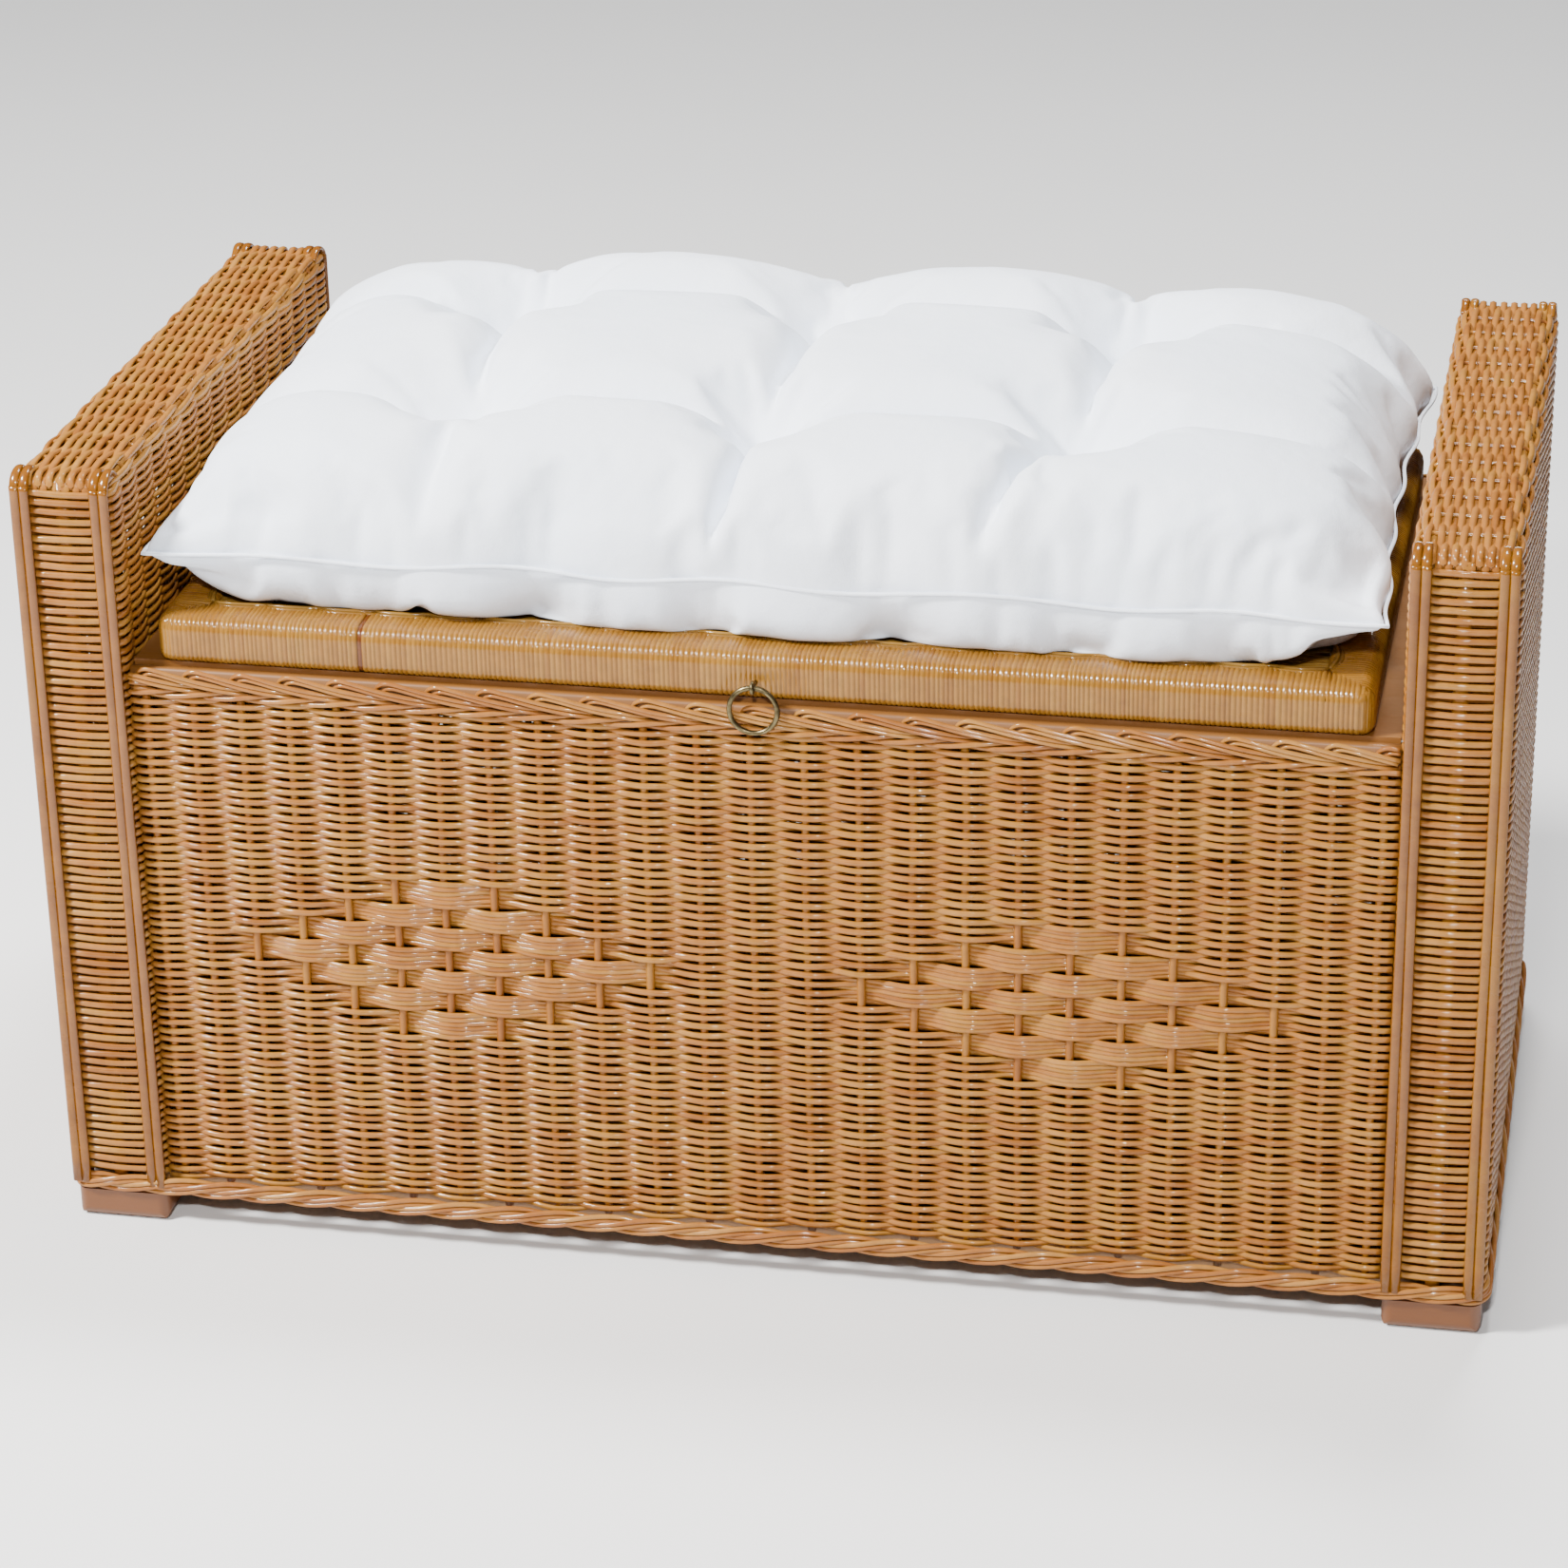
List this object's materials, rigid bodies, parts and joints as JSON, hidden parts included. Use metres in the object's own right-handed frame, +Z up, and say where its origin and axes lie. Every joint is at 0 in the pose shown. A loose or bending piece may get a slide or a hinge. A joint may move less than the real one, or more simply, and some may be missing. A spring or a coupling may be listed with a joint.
{
  "type": "wicker storage trunk",
  "caption": "Wicker storage bench with raised arm towers, a hinged cane-wrapped lid with a ring pull, and a loose tufted seat cushion.",
  "frame": {"origin": "centre of the footprint on the floor, under the middle of the chest", "axes": "+X to the object's left-to-right as seen from the front, -Y to the front where the ring pull is, +Z up"},
  "size_m": [0.9, 0.4604, 0.5156],
  "materials": {
    "woven_rattan": "varnished round reed woven over one and under one",
    "rattan_core": "varnished stakes",
    "plaited_rattan": "varnished plaited reed",
    "split_cane": "glossy split cane",
    "rattan_pole": "satin rattan pole",
    "pale_timber": "plain pale timber and plywood",
    "foot_timber": "reddish varnished timber",
    "wrapped_cane": "glossy flat cane wrapping",
    "lid_rattan": "varnished bundles of reed",
    "steel": "plain steel",
    "old_brass": "antique brass",
    "white_cotton": "matt white cotton"
  },
  "bodies": {
    "trunk": {"front_panel": "woven_rattan", "back_panel": "woven_rattan", "front_stakes": "rattan_core", "back_stakes": "rattan_core", "front_rim_border": "plaited_rattan", "back_rim_border": "plaited_rattan", "bottom_border_front": "plaited_rattan", "bottom_border_back": "plaited_rattan", "bottom_border_left": "plaited_rattan", "bottom_border_right": "plaited_rattan", "left_arm_cover": "woven_rattan", "right_arm_cover": "woven_rattan", "left_arm_stakes": "rattan_core", "right_arm_stakes": "rattan_core", "left_arm_front_face": "woven_rattan", "left_arm_rear_face": "woven_rattan", "right_arm_front_face": "woven_rattan", "right_arm_rear_face": "woven_rattan", "arm_face_stakes": "rattan_core", "left_front_bands": "split_cane", "left_rear_bands": "split_cane", "right_front_bands": "split_cane", "right_rear_bands": "split_cane", "left_posts": "rattan_pole", "right_posts": "rattan_pole", "left_arm_rails": "rattan_pole", "right_arm_rails": "rattan_pole", "left_bottom_rails": "rattan_pole", "right_bottom_rails": "rattan_pole", "front_bottom_rail": "rattan_pole", "back_bottom_rail": "rattan_pole", "base_crossbars": "rattan_pole", "base_board": "pale_timber", "front_top_rail": "pale_timber", "back_top_rail": "pale_timber", "left_ledge": "pale_timber", "right_ledge": "pale_timber", "frame_screws": "steel", "front_left_foot": "foot_timber", "front_right_foot": "foot_timber", "rear_left_foot": "foot_timber", "rear_right_foot": "foot_timber", "foot_screws": "steel", "lower_hinge_leaves": "old_brass", "hinge_pins": "steel", "lower_hinge_screws": "old_brass"},
    "lid": {"lid_front_rail": "wrapped_cane", "lid_rear_rail": "wrapped_cane", "lid_left_rail": "wrapped_cane", "lid_right_rail": "wrapped_cane", "lid_battens": "pale_timber", "lid_weave": "lid_rattan", "upper_hinge_leaves": "old_brass", "upper_hinge_screws": "old_brass", "screw_eye": "old_brass"},
    "ring": {"pull_ring": "old_brass"},
    "seat_cushion": {"cushion": "white_cotton"}
  },
  "joints": [
    {"name": "lid_hinge", "type": "hinge", "parent": "trunk", "child": "lid", "pos_m": [0, 0.2, 0.389], "axis": [-1, 0, 0], "range_deg": [0, 100]},
    {"name": "ring_swing", "type": "hinge", "parent": "lid", "child": "ring", "pos_m": [0.004, -0.226, 0.397], "axis": [-1, 0, 0], "range_deg": [0, 165]},
    {"name": "cushion_lift", "type": "slide", "parent": "lid", "child": "seat_cushion", "axis": [0, 0, 1], "range_m": [0, 0.3]}
  ]
}
